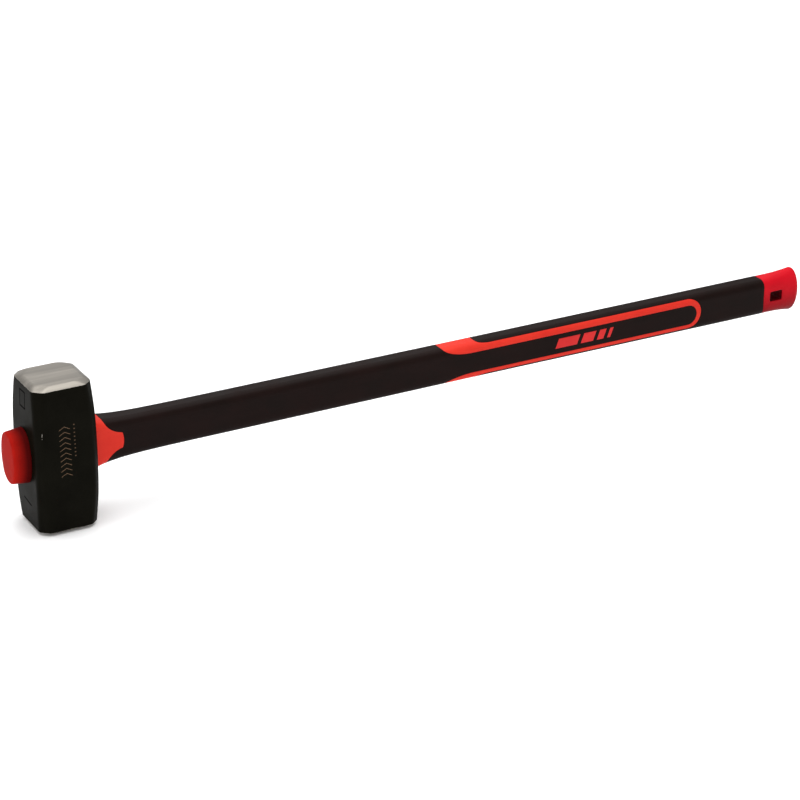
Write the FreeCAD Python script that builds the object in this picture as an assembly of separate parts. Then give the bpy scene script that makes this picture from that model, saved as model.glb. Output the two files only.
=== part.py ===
import FreeCAD, Part
import math
import os

# A two-faced sledge hammer with a fibreglass-cored, plastic-covered handle.
# Millimetres. The origin is the centre of the lower striking face. +Z is the striking axis,
# +X runs along the handle from the head to the hand end, and Y is across the handle.

# ---- driving dimensions ----

# head
HEAD_LENGTH = 150.0          # from striking face to striking face
FACE_HALF_X = 29.2           # where the paint meets the ground bevel
FACE_HALF_Y = 30.0
BARREL_GROWTH_X = 2.0        # how far the eye sides and the cheeks swell at mid height
BARREL_GROWTH_Y = 4.0
BARREL_POWER = 2.6           # above 2, the swelling is flatter in the middle
BARREL_HEIGHTS = (-1.0, -0.7, -0.35, 0.0, 0.35, 0.7, 1.0)
FACE_CHAMFER = 8.0           # corner chamfer where the paint ends, measured along a side
WAIST_CHAMFER = 6.5          # the same at mid height
FLAT_CHAMFER = 10.5          # and on the flat striking face
CORNER_ROUND = 6.0
BEVEL_WIDTH = 4.6            # ground bevel round each striking face
BEVEL_DROP = 3.4
HANDLE_Z = HEAD_LENGTH / 2   # height of the handle's axis

# eye, an oval of four arcs that is widest at the front mouth
OVAL_END = 0.88              # radius of an oval's two ends, as a share of its half width
EYE_FRONT_X = -40.0
EYE_WAIST_X = 6.0
EYE_REAR_X = 40.0
EYE_FRONT = (15.6, 24.0)     # half width, half height
EYE_WAIST = (12.8, 19.6)
EYE_REAR = (13.4, 20.6)
BOND_THICKNESS = 0.8

# plug in the front mouth of the eye
PLUG_FRONT_X = -48.2
PLUG_BASE = (19.0, 27.4)
PLUG_NOSE = (17.4, 25.8)
PLUG_RIM_ROUND = 2.2
PLUG_SPLIT_X = -8.0          # where the plug meets the jacket's tenon, inside the eye

# handle section, a rounded rectangle
GRIP_HALF_WIDTH = 12.5
GRIP_HALF_HEIGHT = 19.2
GRIP_CORNER = 8.0
NECK_X = 44.0                # where the neck's flare is measured
NECK_EXTRA_WIDTH = 2.5
NECK_EXTRA_HEIGHT = 2.8
NECK_FADE = 22.0
NECK_START_X = 26.0          # inside the head
NECK_STATIONS = (42.0, 60.0, 82.0, 112.0)
SHAFT_START_X = 150.0
SHAFT_WAIST_X = 480.0        # the thinnest place
SHAFT_EXTRA_HEIGHT = 0.6     # taper from the neck down to the waist
BUTT_EXTRA_HEIGHT = 0.4      # swell from the waist to the hand end
OVERMOULD_THICKNESS = 2.0
CORE_HALF_WIDTH = 6.5
CORE_HALF_HEIGHT = 13.0
CORE_CORNER = 6.0
CORE_FRONT_X = -40.0
CORE_REAR_X = 800.0
JACKET_REAR_X = 772.0
CAP_FRONT_X = 802.0

# side-view edges: half height of the straight run, then the quarter ellipse that takes it up over
# the crown, as the x where it ends, its length and its height
COLLAR_HALF = 7.2
COLLAR_FLARE = (68.0, 25.0, 19.8)
COLLAR_CORNER_X = 62.0       # the tongue's two corners
COLLAR_TIP_X = 63.4
BAND_INNER_HALF = 10.7
BAND_OUTER_HALF = 16.3
BAND_INNER_FLARE = (445.0, 36.0, 11.6)
BAND_OUTER_FLARE = (466.0, 18.5, 4.0)
BAND_BEND_X = 704.7          # centre of the loop's bend at the hand end
BAND_INNER_RISE = -0.3       # how far each edge sits above the handle's axis
BAND_OUTER_RISE = 0.9

# marks on the side tongues: widths of the slanted bars from the head end
MARK_START_X = 541.0
MARK_BARS = (26.0, 15.0, 8.0, 4.0)
MARK_GAP = 4.5
MARK_SLANT = 4.0
MARK_HALF_HEIGHT = 5.2
MARK_DEPTH = 0.6

# end cap: half width, half height and squareness (2 is an ellipse) at its front edge and its flare
CAP_FRONT = (12.6, 19.6, 4.2)
CAP_FLARE = (12.4, 24.1, 2.0)
CAP_FLARE_X = 842.7
CAP_FLARE_POWER = 2.2        # how late along the cap its height grows
CAP_STEPS = 6
CAP_POINTS = 32
CAP_DOME_LENGTH = 7.3
CAP_DOME_ANGLES = (25.0, 45.0, 62.0, 76.0)
HANG_HOLE_X = (810.5, 826.0)
HANG_HOLE_HALF_HEIGHT = 5.5
HANG_HOLE_CORNER = 1.5

REACH = 60.0                 # larger than the handle's section, for cutting tools


def point(x, y, z):
    """A point whose z is measured from the handle's axis."""
    return FreeCAD.Vector(x, y, z + HANDLE_Z)


def rounded_polygon(corners, radius):
    """Closed wire through the corners, each rounded by a tangent arc."""
    arcs = []
    for index, corner in enumerate(corners):
        back = (corners[index - 1] - corner).normalize()
        ahead = (corners[(index + 1) % len(corners)] - corner).normalize()
        half_turn = back.getAngle(ahead) / 2
        reach = radius / math.tan(half_turn)
        inward = (back + ahead).normalize()
        middle = corner + inward * (radius / math.sin(half_turn) - radius)
        arcs.append((corner + back * reach, middle, corner + ahead * reach))
    edges = []
    for index, (start, middle, end) in enumerate(arcs):
        edges.append(Part.Arc(start, middle, end).toShape())
        next_start = arcs[(index + 1) % len(arcs)][0]
        edges.append(Part.LineSegment(end, next_start).toShape())
    return Part.Wire(edges)


def handle_section(x, half_width, half_height, radius):
    """Rounded rectangle across the handle at x."""
    corners = [
        point(x, half_width, half_height),
        point(x, -half_width, half_height),
        point(x, -half_width, -half_height),
        point(x, half_width, -half_height),
    ]
    return rounded_polygon(corners, radius)


def oval_section(x, half_width, half_height):
    """Oval of four tangent arcs across the eye at x."""
    end = OVAL_END * half_width
    squares = half_width ** 2 + half_height ** 2
    side = (squares - 2 * half_height * end) / (2 * (half_width - end))
    turn = math.atan2(side - half_width, half_height - end)
    meet_y = end * math.sin(turn)
    meet_z = half_height - end + end * math.cos(turn)
    ends = ((0, half_height), (half_width, 0), (0, -half_height), (-half_width, 0))
    meets = ((-meet_y, meet_z), (meet_y, meet_z), (meet_y, -meet_z), (-meet_y, -meet_z))
    arcs = []
    for index, middle in enumerate(ends):
        start, finish = meets[index], meets[(index + 1) % 4]
        arcs.append(Part.Arc(point(x, *start), point(x, *middle), point(x, *finish)).toShape())
    return Part.Wire(arcs)


def cap_section(x, half_width, half_height, squareness):
    """Smooth closed curve across the cap at x, between a rounded rectangle and an ellipse."""
    places = []
    for step in range(CAP_POINTS):
        across = math.cos(2 * math.pi * step / CAP_POINTS)
        up = math.sin(2 * math.pi * step / CAP_POINTS)
        reach = (abs(across) ** squareness + abs(up) ** squareness) ** (-1 / squareness)
        places.append(point(x, half_width * across * reach, half_height * up * reach))
    curve = Part.BSplineCurve()
    curve.interpolate(Points=places, PeriodicFlag=True)
    return Part.Wire([curve.toShape()])


def slab(x_start, x_end):
    """Block that keeps only one stretch of the handle."""
    corner = point(x_start, -REACH, -REACH)
    return Part.makeBox(x_end - x_start, 2 * REACH, 2 * REACH, corner)


def side_prism(edges):
    """Outline in the side view, carried right across the handle."""
    face = Part.Face(Part.Wire(edges))
    face.translate(FreeCAD.Vector(0, -REACH, 0))
    return face.extrude(FreeCAD.Vector(0, 2 * REACH, 0))


# ---- head ----

def head_section(z, half_x, half_y, chamfer):
    """Square with chamfered, lightly rounded corners at height z."""
    corners = []
    for side_x, side_y, x_first in ((1, 1, True), (-1, 1, False), (-1, -1, True), (1, -1, False)):
        on_y_side = FreeCAD.Vector(side_x * (half_x - chamfer), side_y * half_y, z)
        on_x_side = FreeCAD.Vector(side_x * half_x, side_y * (half_y - chamfer), z)
        corners += [on_x_side, on_y_side] if x_first else [on_y_side, on_x_side]
    return rounded_polygon(corners, CORNER_ROUND)


def head_block():
    """The forged block before the eye is pierced."""
    def barrel_section(height):
        """Section at a height from -1, at the lower bevel, to 1, at the upper one."""
        swell = 1 - abs(height) ** BARREL_POWER
        z = HEAD_LENGTH / 2 + height * (HEAD_LENGTH / 2 - BEVEL_DROP)
        half_x = FACE_HALF_X + BARREL_GROWTH_X * swell
        half_y = FACE_HALF_Y + BARREL_GROWTH_Y * swell
        return head_section(z, half_x, half_y, FACE_CHAMFER + (WAIST_CHAMFER - FACE_CHAMFER) * swell)

    def face_section(z):
        half_x = FACE_HALF_X - BEVEL_WIDTH
        half_y = FACE_HALF_Y - BEVEL_WIDTH
        return head_section(z, half_x, half_y, FLAT_CHAMFER)

    barrel = Part.makeLoft([barrel_section(height) for height in BARREL_HEIGHTS], True, False)
    lower_bevel = Part.makeLoft([face_section(0), barrel_section(-1)], True, True)
    upper_bevel = Part.makeLoft([barrel_section(1), face_section(HEAD_LENGTH)], True, True)
    return barrel.fuse([lower_bevel, upper_bevel])


def eye_body(inset):
    """The space in the eye, or what fits in it with a gap all round."""
    sections = []
    for x, size in ((EYE_FRONT_X, EYE_FRONT), (EYE_WAIST_X, EYE_WAIST), (EYE_REAR_X, EYE_REAR)):
        sections.append(oval_section(x, size[0] - inset, size[1] - inset))
    return Part.makeLoft(sections, True, False)


# ---- handle bodies that the pieces are cut from ----

def handle_size(x):
    """Half width and half height of the finished handle at x."""
    neck = math.exp(-(x - NECK_X) / NECK_FADE)
    shaft = max(0.0, (SHAFT_WAIST_X - x) / SHAFT_WAIST_X)
    butt = max(0.0, (x - SHAFT_WAIST_X) / (CAP_FRONT_X - SHAFT_WAIST_X))
    half_width = GRIP_HALF_WIDTH + NECK_EXTRA_WIDTH * neck
    half_height = (
        GRIP_HALF_HEIGHT
        + NECK_EXTRA_HEIGHT * neck
        + SHAFT_EXTRA_HEIGHT * shaft
        + BUTT_EXTRA_HEIGHT * butt
    )
    return half_width, half_height


def handle_body(inset, overrun=0.0):
    """The handle from inside the head to the end cap, with its surface moved in by inset."""
    def sections(stations):
        wires = []
        for x in stations:
            half_width, half_height = handle_size(x)
            size = (half_width - inset, half_height - inset)
            wires.append(handle_section(x, *size, GRIP_CORNER - inset))
        return wires

    neck = Part.makeLoft(sections((NECK_START_X - overrun, *NECK_STATIONS, SHAFT_START_X)), True, False)
    shaft = Part.makeLoft(sections((SHAFT_START_X, SHAFT_WAIST_X, CAP_FRONT_X + overrun)), True, True)
    return neck.fuse(shaft)


def core_rod(x_start, x_end):
    section = Part.Face(handle_section(x_start, CORE_HALF_WIDTH, CORE_HALF_HEIGHT, CORE_CORNER))
    return section.extrude(FreeCAD.Vector(x_end - x_start, 0, 0))


# ---- side-view outlines ----

def flare_arc(flare, half, side, end_x=None):
    """Quarter ellipse from over the handle's crown down to a straight edge, or to end_x."""
    x, length, height = flare
    centre = point(x, 0, side * (half + height))
    ellipse = Part.Ellipse(
        centre + FreeCAD.Vector(-length, 0, 0),
        centre + FreeCAD.Vector(0, 0, -side * height),
        centre,
    )
    end_angle = math.pi / 2 if end_x is None else math.acos((x - end_x) / length)
    return Part.ArcOfEllipse(ellipse, 0, end_angle).toShape()


def head_side_edges(flare, half, top_x):
    """The rest of an outline, round everything on the head's side of the flares."""
    edges = [Part.LineSegment(point(0, 0, REACH), point(0, 0, -REACH)).toShape()]
    for side in (1, -1):
        turn = point(top_x, 0, side * (half + flare[2]))
        far = point(top_x, 0, side * REACH)
        edges.append(Part.LineSegment(turn, far).toShape())
        edges.append(Part.LineSegment(far, point(0, 0, side * REACH)).toShape())
    return edges


def collar_prism():
    """Collar and its two side tongues."""
    end_x, length, height = COLLAR_FLARE
    drop = math.sqrt(1 - ((end_x - COLLAR_CORNER_X) / length) ** 2)
    corner_z = COLLAR_HALF + height * (1 - drop)
    tip = Part.Arc(
        point(COLLAR_CORNER_X, 0, corner_z),
        point(COLLAR_TIP_X, 0, 0),
        point(COLLAR_CORNER_X, 0, -corner_z),
    )
    edges = head_side_edges(COLLAR_FLARE, COLLAR_HALF, end_x - length)
    edges.append(tip.toShape())
    for side in (1, -1):
        edges.append(flare_arc(COLLAR_FLARE, COLLAR_HALF, side, COLLAR_CORNER_X))
    return side_prism(Part.__sortEdges__(edges))


def loop_prism(flare, half, rise):
    """Everything on the head's side of one edge of the band."""
    end_x, length, height = flare
    bend = Part.Arc(
        point(BAND_BEND_X, 0, half),
        point(BAND_BEND_X + half, 0, 0),
        point(BAND_BEND_X, 0, -half),
    )
    edges = head_side_edges(flare, half, end_x - length)
    edges.append(bend.toShape())
    for side in (1, -1):
        edges.append(flare_arc(flare, half, side))
        start = point(end_x, 0, side * half)
        edges.append(Part.LineSegment(start, point(BAND_BEND_X, 0, side * half)).toShape())
    return side_prism(Part.__sortEdges__(edges)).translated(FreeCAD.Vector(0, 0, rise))


def loop_inside():
    return loop_prism(BAND_INNER_FLARE, BAND_INNER_HALF, BAND_INNER_RISE)


def loop_outside():
    return loop_prism(BAND_OUTER_FLARE, BAND_OUTER_HALF, BAND_OUTER_RISE)


# ---- pieces ----

def make_front_plug(block):
    base_x = -(FACE_HALF_X - BEVEL_WIDTH)
    nose = Part.makeLoft(
        [oval_section(PLUG_FRONT_X, *PLUG_NOSE), oval_section(base_x, *PLUG_BASE)], True, True
    )
    rim = [edge for edge in nose.Edges if edge.BoundBox.XMax < PLUG_FRONT_X + 0.01]
    nose = nose.makeFillet(PLUG_RIM_ROUND, rim)
    spigot = eye_body(BOND_THICKNESS).common(slab(base_x - 10, PLUG_SPLIT_X)).common(block)
    plug = nose.cut(block).fuse(spigot)
    return plug.cut(core_rod(CORE_FRONT_X, CORE_REAR_X))


def make_bond(block):
    ring = eye_body(0).cut(eye_body(BOND_THICKNESS))
    return ring.common(block)


def make_jacket(block, outer, under):
    """Red moulding: tenon in the eye, collar, skin over the core, and the raised band."""
    tenon = eye_body(BOND_THICKNESS).common(slab(PLUG_SPLIT_X, REACH)).common(block)
    skin = under.common(slab(0, JACKET_REAR_X))
    collar = outer.common(collar_prism())
    band = outer.common(loop_outside().cut(loop_inside()))
    outside = skin.fuse([collar, band]).cut(block)
    return outside.fuse(tenon).cut(core_rod(CORE_FRONT_X, CORE_REAR_X))


def make_marks(outer):
    """Slanted bars let into the side tongues, one set for each side."""
    marks = {}
    for name, side in (("left_grip_mark", 1), ("right_grip_mark", -1)):
        bars = []
        start = MARK_START_X
        for width in MARK_BARS:
            corners = [
                point(start, 0, -MARK_HALF_HEIGHT),
                point(start + width, 0, -MARK_HALF_HEIGHT),
                point(start + width + MARK_SLANT, 0, MARK_HALF_HEIGHT),
                point(start + MARK_SLANT, 0, MARK_HALF_HEIGHT),
            ]
            bar = Part.Face(Part.makePolygon(corners + corners[:1]))
            bar.translate(FreeCAD.Vector(0, side * (GRIP_HALF_WIDTH - MARK_DEPTH), 0))
            bars.append(bar.extrude(FreeCAD.Vector(0, side * REACH, 0)).common(outer))
            start += width + MARK_GAP
        marks[name] = Part.makeCompound(bars)
    return marks


def make_sleeve(outer, under, marks):
    ring = outer.cut(under)
    sleeve = ring.common(loop_inside()).cut(collar_prism())
    return sleeve.cut(list(marks.values()))


def make_grip(outer, under):
    return outer.cut(under).cut(loop_outside())


def make_end_cap(under):
    """Flared cap with a skirt under the grip, a domed end and a hanging hole."""
    sections = []
    for step in range(CAP_STEPS + 1):
        share = step / CAP_STEPS
        swell = share ** CAP_FLARE_POWER
        half_width = CAP_FRONT[0] + (CAP_FLARE[0] - CAP_FRONT[0]) * swell
        half_height = CAP_FRONT[1] + (CAP_FLARE[1] - CAP_FRONT[1]) * swell
        squareness = CAP_FRONT[2] + (CAP_FLARE[2] - CAP_FRONT[2]) * share
        x = CAP_FRONT_X + (CAP_FLARE_X - CAP_FRONT_X) * share
        sections.append(cap_section(x, half_width, half_height, squareness))
    dome = [sections[-1]]
    for angle in CAP_DOME_ANGLES:
        along = CAP_FLARE_X + CAP_DOME_LENGTH * math.sin(math.radians(angle))
        shrink = math.cos(math.radians(angle)) ** 0.5
        dome.append(cap_section(along, CAP_FLARE[0] * shrink, CAP_FLARE[1] * shrink, CAP_FLARE[2]))
    body = Part.makeLoft(sections, True, False).fuse(Part.makeLoft(dome, True, False))
    skirt = under.common(slab(JACKET_REAR_X, CAP_FRONT_X))
    corners = [
        point(HANG_HOLE_X[0], -REACH, -HANG_HOLE_HALF_HEIGHT),
        point(HANG_HOLE_X[1], -REACH, -HANG_HOLE_HALF_HEIGHT),
        point(HANG_HOLE_X[1], -REACH, HANG_HOLE_HALF_HEIGHT),
        point(HANG_HOLE_X[0], -REACH, HANG_HOLE_HALF_HEIGHT),
    ]
    hole = Part.Face(rounded_polygon(corners, HANG_HOLE_CORNER)).extrude(FreeCAD.Vector(0, 2 * REACH, 0))
    cap = body.fuse(skirt).cut(hole)
    return cap.cut(core_rod(CORE_FRONT_X, CORE_REAR_X))


def main():
    block = head_block()
    outer = handle_body(0)
    under = handle_body(OVERMOULD_THICKNESS, overrun=4.0)
    marks = make_marks(outer)
    pieces = {
        "hammer_head": block.cut(eye_body(0)),
        "eye_bond": make_bond(block),
        "front_plug": make_front_plug(block),
        "fibreglass_core": core_rod(CORE_FRONT_X, CORE_REAR_X),
        "handle_jacket": make_jacket(block, outer, under),
        "shaft_sleeve": make_sleeve(outer, under, marks),
        "rear_grip": make_grip(outer, under),
        "end_cap": make_end_cap(under),
    }
    pieces.update(marks)
    os.makedirs("parts", exist_ok=True)
    for name, shape in pieces.items():
        shape.exportStep("parts/" + name + ".step")
        print(name, len(shape.Solids), "solids, valid:", shape.isValid(), round(shape.Volume / 1000, 1), "cm3")


main()
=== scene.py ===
import math

import bmesh
import bpy
from mathutils import Matrix, Vector, noise


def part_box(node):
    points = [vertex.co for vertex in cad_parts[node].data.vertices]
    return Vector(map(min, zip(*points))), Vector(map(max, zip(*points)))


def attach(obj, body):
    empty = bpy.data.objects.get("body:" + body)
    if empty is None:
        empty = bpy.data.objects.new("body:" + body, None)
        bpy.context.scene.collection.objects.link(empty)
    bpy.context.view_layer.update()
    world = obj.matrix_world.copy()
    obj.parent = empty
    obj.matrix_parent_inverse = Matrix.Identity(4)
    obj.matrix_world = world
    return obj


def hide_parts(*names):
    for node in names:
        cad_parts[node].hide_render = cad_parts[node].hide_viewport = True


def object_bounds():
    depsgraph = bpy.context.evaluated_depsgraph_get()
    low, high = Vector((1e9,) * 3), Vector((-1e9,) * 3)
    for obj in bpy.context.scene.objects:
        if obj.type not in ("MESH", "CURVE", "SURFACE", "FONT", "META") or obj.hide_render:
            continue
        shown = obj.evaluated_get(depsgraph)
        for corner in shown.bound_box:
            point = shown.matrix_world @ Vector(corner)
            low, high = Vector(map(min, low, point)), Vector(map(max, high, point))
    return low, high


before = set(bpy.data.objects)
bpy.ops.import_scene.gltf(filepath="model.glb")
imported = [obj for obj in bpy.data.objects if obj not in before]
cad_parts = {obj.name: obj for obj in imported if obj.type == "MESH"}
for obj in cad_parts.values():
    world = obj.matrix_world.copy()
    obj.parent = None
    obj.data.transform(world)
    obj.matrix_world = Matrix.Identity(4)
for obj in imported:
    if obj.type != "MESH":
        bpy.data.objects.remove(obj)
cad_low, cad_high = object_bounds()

# A two-faced sledge hammer. Metres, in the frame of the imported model: +Z is the striking axis,
# +X runs along the handle towards the hand end, and the lower striking face is at z = 0.

MM = 0.001

# ---- sizes read from the frame ----

HEAD_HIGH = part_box("hammer_head")[1]
CORE_LOW, CORE_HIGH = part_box("fibreglass_core")
PLUG_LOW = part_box("front_plug")[0]
SLEEVE_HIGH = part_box("shaft_sleeve")[1]
GRIP_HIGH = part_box("rear_grip")[1]
CAP_LOW, CAP_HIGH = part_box("end_cap")
MARK_LOW, MARK_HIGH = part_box("right_grip_mark")

AXIS_Z = (CORE_LOW.z + CORE_HIGH.z) / 2
CAP_FRONT_X = GRIP_HIGH.x
SKIRT_X = CAP_LOW.x
GRIP_HALF_WIDTH = GRIP_HIGH.y

# ---- sizes of the same design that a box doesn't show ----

# handle section
GRIP_HALF_HEIGHT = 19.2 * MM
GRIP_CORNER = 8.0 * MM
NECK_X = 44.0 * MM
NECK_EXTRA_WIDTH = 2.5 * MM
NECK_EXTRA_HEIGHT = 2.8 * MM
NECK_FADE = 22.0 * MM
SHAFT_WAIST_X = 480.0 * MM
SHAFT_EXTRA_HEIGHT = 0.6 * MM
BUTT_EXTRA_HEIGHT = 0.4 * MM
OVERMOULD_THICKNESS = 1.9 * MM
UNDER_SKIN_DEPTH = 2.0 * MM
UNDER_SKIN_THICKNESS = 3.0 * MM
RED_SINK = 0.05 * MM

# side-view edges: half height of the straight run, the x where the flare ends and its length and
# height; a rise is how far an edge sits above the handle's axis
COLLAR_HALF = 7.2 * MM
COLLAR_FLARE_X = 68.0 * MM
COLLAR_FLARE = (25.0 * MM, 19.8 * MM)
COLLAR_CORNER_X = 62.0 * MM
COLLAR_TIP_X = 63.4 * MM
INNER_HALF = 10.7 * MM
INNER_FLARE = (36.0 * MM, 11.6 * MM)
INNER_FLARE_X = 445.0 * MM
OUTER_HALF = 16.3 * MM
OUTER_FLARE = (18.5 * MM, 4.0 * MM)
OUTER_FLARE_X = 466.0 * MM
BEND_X = SLEEVE_HIGH.x - INNER_HALF
INNER_RISE = -0.3 * MM
OUTER_RISE = 0.9 * MM

# head: chamfers are measured where the paint ends, at mid height and on the flat face
HEAD_BEVEL_DROP = 3.4 * MM
# the ground bevel from the flat face to the paint: distance in from the paint and drop, in mm
HEAD_BEVEL = ((6.6, 0.0), (5.7, 0.12), (4.8, 0.42), (3.9, 0.86), (3.0, 1.38), (2.0, 2.0))
HEAD_GROWTH_X = 2.0 * MM
HEAD_GROWTH_Y = 4.0 * MM
HEAD_POWER = 2.6
FACE_CHAMFER = 8.0 * MM
WAIST_CHAMFER = 6.5 * MM
FLAT_CHAMFER = 10.5 * MM
FLAT_INSET = 4.6 * MM
HEAD_CORNER = 6.0 * MM
HALF_CORNER_TURN = math.radians(22.5)
SIDE_PIECES = 22
CHAMFER_PIECES = 5
FACE_HALF_X = HEAD_HIGH.x - HEAD_GROWTH_X
FACE_HALF_Y = HEAD_HIGH.y - HEAD_GROWTH_Y

# eye and plug: half width and half height of each oval
OVAL_END = 0.88
EYE_FRONT_X = -40.0 * MM
EYE_WAIST_X = 6.0 * MM
EYE_REAR_X = 40.0 * MM
EYE_FRONT = (15.6 * MM, 24.0 * MM)
EYE_WAIST = (12.8 * MM, 19.6 * MM)
EYE_REAR = (13.4 * MM, 20.6 * MM)
BOND_THICKNESS = 0.8 * MM
PLUG_SPLIT_X = -8.0 * MM
PLUG_BASE = (19.0 * MM, 27.4 * MM)
PLUG_NOSE = (17.4 * MM, 25.8 * MM)
PLUG_RIM = 2.2 * MM
PLUG_DOME = 0.3 * MM
PLUG_RIM_START = 0.35 * MM

# cap: half width and half height, and how square the section is, at its front edge and its flare
CAP_FRONT = (12.55 * MM, 19.55 * MM)
CAP_FLARE = (12.35 * MM, 24.0 * MM)
CAP_SQUARENESS = (4.2, 2.0)
CAP_FLARE_X = 842.7 * MM
CAP_FLARE_POWER = 2.2
CAP_SWELL_ROWS = (833.0 * MM, 836.5 * MM, 839.5 * MM)
CAP_DOME_POWER = 0.5
HOLE_X = (810.5 * MM, 826.0 * MM)
HOLE_HALF_HEIGHT = 5.5 * MM
HOLE_CORNER = 1.5 * MM
HOLE_MIDDLE = (HOLE_X[0] + HOLE_X[1]) / 2
HOLE_HALF_LENGTH = (HOLE_X[1] - HOLE_X[0]) / 2
# half length and half height of the frame round the hole that the cap's grid leaves out
HOLE_FRAME = (12.0 * MM, 10.0 * MM)

# slanted bars on the side tongues: widths from the head end
MARK_BARS = (26.0 * MM, 15.0 * MM, 8.0 * MM, 4.0 * MM)
MARK_GAP = 4.5 * MM
MARK_SLANT = 4.0 * MM
MARK_LIFT = 0.12 * MM
MARK_THICKNESS = 0.5 * MM

# how finely an edge on the handle is divided: across the crown, down a flare, over the collar's
# tip, along the loop and round its bend, which has as many steps as a flare and a tip together
CROWN = 4
FLARE = 12
TIP = 4
STRAIGHT = 60
BEND = FLARE + TIP


# ---- meshes ----

def new_piece(name, bm, node):
    """Turns a bmesh into a smooth-shaded piece that rides on the hammer and replaces a node."""
    mesh = bpy.data.meshes.new(name)
    bmesh.ops.recalc_face_normals(bm, faces=bm.faces)
    for face in bm.faces:
        face.smooth = True
    bm.to_mesh(mesh)
    bm.free()
    piece = bpy.data.objects.new(name, mesh)
    bpy.context.scene.collection.objects.link(piece)
    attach(piece, "root")
    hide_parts(node)
    return piece


def add_rows(bm, rows, closed=False, skip=None):
    """Quads between rows of points of equal length. skip(row, column) leaves a quad out."""
    lines = [[bm.verts.new(place) for place in row] for row in rows]
    for index, (line, following) in enumerate(zip(lines, lines[1:])):
        count = len(line) if closed else len(line) - 1
        for column in range(count):
            if skip and skip(index, column):
                continue
            after = (column + 1) % len(line)
            bm.faces.new((line[column], line[after], following[after], following[column]))
    return lines


def weld(bm, distance=0.002 * MM):
    """Joins points that lie in the same place."""
    bmesh.ops.remove_doubles(bm, verts=bm.verts, dist=distance)
    bmesh.ops.dissolve_degenerate(bm, edges=bm.edges, dist=distance)


def mix(first, second, share):
    """Values a share of the way from one tuple to another."""
    return tuple(a + (b - a) * share for a, b in zip(first, second))


def mix_rows(first, second, steps, ease=1.0):
    """Rows that lead from one row of values to another."""
    rows = []
    for step in range(steps + 1):
        share = (step / steps) ** ease
        rows.append([mix(a, b, share) for a, b in zip(first, second)])
    return rows


def round_edges(piece, width, segments=3, angle=40.0):
    """Rounds the edges that turn by more than the angle."""
    bevel = piece.modifiers.new("edges", "BEVEL")
    bevel.width = width
    bevel.segments = segments
    bevel.limit_method = "ANGLE"
    bevel.angle_limit = math.radians(angle)


def give_thickness(piece, thickness):
    """Makes a surface solid, inwards."""
    solidify = piece.modifiers.new("thickness", "SOLIDIFY")
    solidify.thickness = thickness
    solidify.offset = -1.0
    solidify.use_even_offset = True


# ---- the handle's surface ----

def handle_size(x):
    """Half width and half height of the handle at x."""
    neck = math.exp(-(x - NECK_X) / NECK_FADE)
    shaft = max(0.0, (SHAFT_WAIST_X - x) / SHAFT_WAIST_X)
    butt = max(0.0, (x - SHAFT_WAIST_X) / (CAP_FRONT_X - SHAFT_WAIST_X))
    half_width = GRIP_HALF_WIDTH + NECK_EXTRA_WIDTH * neck
    half_height = (
        GRIP_HALF_HEIGHT
        + NECK_EXTRA_HEIGHT * neck
        + SHAFT_EXTRA_HEIGHT * shaft
        + BUTT_EXTRA_HEIGHT * butt
    )
    return half_width, half_height


def section_point(x, size, corner, around, side, lift=0.0):
    """Point on a rounded rectangle. around runs from 1, top centre, to -1, bottom centre, down one side."""
    half_width, half_height = size
    flat = half_height - corner
    arc = corner * math.pi / 2
    run = abs(around) * (flat + arc + half_width - corner)
    if run <= flat:
        y, z, out_y, out_z = half_width, run, 1.0, 0.0
    elif run <= flat + arc:
        turn = (run - flat) / corner
        out_y, out_z = math.cos(turn), math.sin(turn)
        y = half_width - corner + corner * out_y
        z = flat + corner * out_z
    else:
        y, z, out_y, out_z = half_width - corner - (run - flat - arc), half_height, 0.0, 1.0
    up = 1 if around >= 0 else -1
    return Vector((x, side * (y + lift * out_y), AXIS_Z + up * (z + lift * out_z)))


def handle_point(x, around, side, lift=0.0):
    """Point on the handle's surface at x, or lifted off it."""
    return section_point(x, handle_size(x), GRIP_CORNER, around, side, lift)


def around_at(x, z):
    """The place round the section where the side reaches height z above the axis."""
    half_width, half_height = handle_size(x)
    flat = half_height - GRIP_CORNER
    length = flat + GRIP_CORNER * math.pi / 2 + half_width - GRIP_CORNER
    if abs(z) <= flat:
        return z / length
    turn = math.asin(min(1.0, (abs(z) - flat) / GRIP_CORNER))
    return math.copysign((flat + GRIP_CORNER * turn) / length, z)


def flare_points(end_x, half, flare, last_x=None, rise=0.0):
    """Quarter ellipse from the handle's crown down to a straight edge, as (x, around)."""
    length, height = flare
    crown_height = handle_size(end_x - length)[1] - rise
    first = math.asin((half + height - crown_height) / height)
    last = math.pi / 2 if last_x is None else math.acos((end_x - last_x) / length)
    points = []
    for step in range(FLARE + 1):
        angle = first + (last - first) * step / FLARE
        x = end_x - length * math.cos(angle)
        z = half + height * (1 - math.sin(angle))
        points.append((x, around_at(x, z + rise)))
    return points


def crown_points(corner):
    """From the top centre to the edge of the crown, straight across the handle."""
    x, around = corner
    return [(x, 1 + (around - 1) * step / CROWN) for step in range(CROWN)]


def joined(upper, lower):
    """One edge from top centre to bottom centre, without repeating the place where the halves meet."""
    return upper + [(x, -around) for x, around in reversed(lower[:-1])]


def collar_edge():
    """Top centre to bottom centre along the collar's edge."""
    flare = flare_points(COLLAR_FLARE_X, COLLAR_HALF, COLLAR_FLARE, COLLAR_CORNER_X)
    corner_angle = math.acos((COLLAR_FLARE_X - COLLAR_CORNER_X) / COLLAR_FLARE[0])
    corner_z = COLLAR_HALF + COLLAR_FLARE[1] * (1 - math.sin(corner_angle))
    tip = []
    for step in range(1, TIP + 1):
        z = corner_z * (1 - step / TIP)
        x = COLLAR_TIP_X - (COLLAR_TIP_X - COLLAR_CORNER_X) * (z / corner_z) ** 2
        tip.append((x, around_at(x, z)))
    half_edge = crown_points(flare[0]) + flare + tip
    return joined(half_edge, half_edge)


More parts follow.
